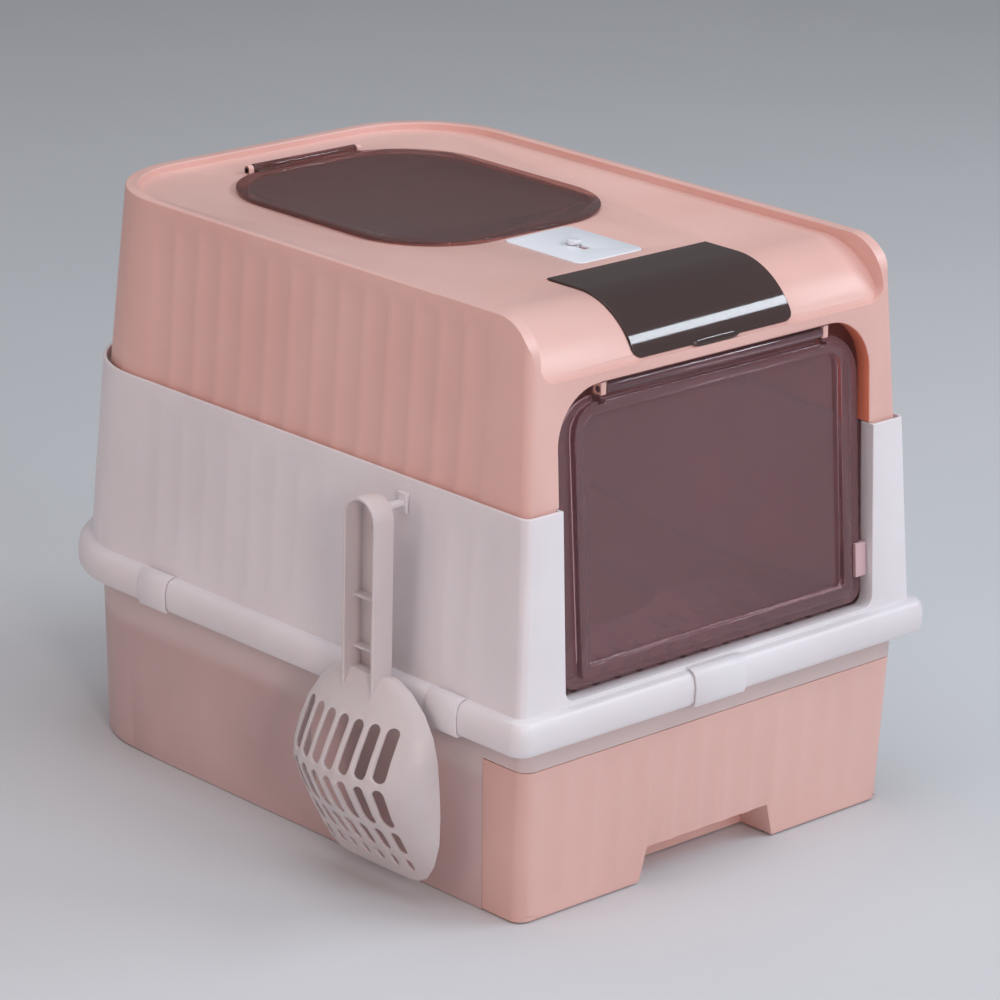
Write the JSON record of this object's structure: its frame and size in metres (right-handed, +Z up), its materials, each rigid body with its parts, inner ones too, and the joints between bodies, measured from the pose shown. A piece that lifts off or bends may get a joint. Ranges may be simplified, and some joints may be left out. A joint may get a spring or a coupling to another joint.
{
  "type": "hooded cat litter box",
  "caption": "Hooded litter box: sliding litter drawer in a housing, middle frame with rolled rim, lift-off hood with swing door, top lid, odour cover, and a hung scoop.",
  "frame": {"origin": "centre of the base housing's footprint, on the floor", "axes": "+Z up, the entrance and the drawer front face -Y, the scoop hangs on the -X side"},
  "size_m": [0.4431, 0.5294, 0.4112],
  "materials": {
    "frosted_shell": "satin, slightly see-through",
    "pink_shell": "satin",
    "pale_shell": "satin",
    "coral_shell": "satin",
    "smoke": "smoked, glossy",
    "white_plastic": "satin",
    "scoop_plastic": "satin",
    "felt": "black non-woven"
  },
  "bodies": {
    "base": {"base_housing": "frosted_shell", "mid_frame": "pale_shell", "scoop_hook": "pale_shell", "side_clips": "pale_shell", "front_clip": "pale_shell", "rear_clip": "pale_shell"},
    "hood": {"hood": "coral_shell", "door_hinge_rod": "smoke", "lid_hinge_rod": "smoke", "latch_plate": "white_plastic", "deodoriser_tray": "coral_shell", "charcoal_pack": "felt"},
    "door": {"front_door": "smoke", "door_catch": "pink_shell"},
    "lid": {"top_lid": "smoke"},
    "latch": {"latch_slider": "white_plastic"},
    "cover": {"deodoriser_cover": "smoke", "cover_hinge_pins": "smoke"},
    "drawer": {"litter_drawer": "pink_shell"},
    "grate": {"step_grate": "pale_shell"},
    "scoop": {"scoop": "scoop_plastic"}
  },
  "joints": [
    {"name": "hood_lift", "type": "slide", "parent": "base", "child": "hood", "axis": [0, 0, 1], "range_m": [0, 0.15]},
    {"name": "door_swing", "type": "hinge", "parent": "hood", "child": "door", "pos_m": [0, -0.236, 0.3555], "axis": [-1, 0, 0], "range_deg": [-70, 80]},
    {"name": "lid_hinge", "type": "hinge", "parent": "hood", "child": "lid", "pos_m": [0, 0.18475, 0.408], "axis": [-1, 0, 0], "range_deg": [0, 100]},
    {"name": "latch_slide", "type": "slide", "parent": "hood", "child": "latch", "axis": [0, -1, 0], "range_m": [0, 0.01]},
    {"name": "cover_hinge", "type": "hinge", "parent": "hood", "child": "cover", "pos_m": [0, -0.1526, 0.4034], "axis": [-1, 0, 0], "range_deg": [0, 100]},
    {"name": "drawer_slide", "type": "slide", "parent": "base", "child": "drawer", "axis": [0, -1, 0], "range_m": [0, 0.38]},
    {"name": "grate_lift", "type": "slide", "parent": "base", "child": "grate", "axis": [0, 0, 1], "range_m": [0, 0.05]},
    {"name": "scoop_lift", "type": "slide", "parent": "base", "child": "scoop", "axis": [0, 0, 1], "range_m": [0, 0.012]}
  ]
}
